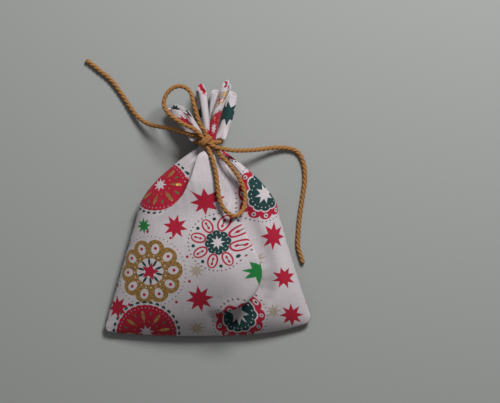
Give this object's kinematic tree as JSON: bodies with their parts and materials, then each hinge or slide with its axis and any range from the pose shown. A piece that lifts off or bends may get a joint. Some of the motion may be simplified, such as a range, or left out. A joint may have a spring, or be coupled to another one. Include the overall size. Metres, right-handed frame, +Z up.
{
  "type": "kinchaku drawstring pouch",
  "caption": "Small gathered cotton pouch, lightly filled, tied shut at its neck with a bow of twisted brown twine and lying on its back.",
  "frame": {"origin": "on the surface it rests on, under the middle of the cloth's box", "axes": "+Y from the bottom edge to the frill, +X to the pouch's right seen from above, +Z up out of its front"},
  "size_m": [0.1391, 0.1715, 0.0298],
  "materials": {
    "printed_cotton": "plain-woven cotton, printed, matte",
    "brown_twine": "twisted plant fibre, matte"
  },
  "bodies": {
    "root": {"pouch": "printed_cotton", "neck_cord": "brown_twine", "bow_knot": "brown_twine", "left_tail": "brown_twine", "right_tail": "brown_twine", "upper_loop": "brown_twine", "lower_loop": "brown_twine"}
  },
  "joints": []
}
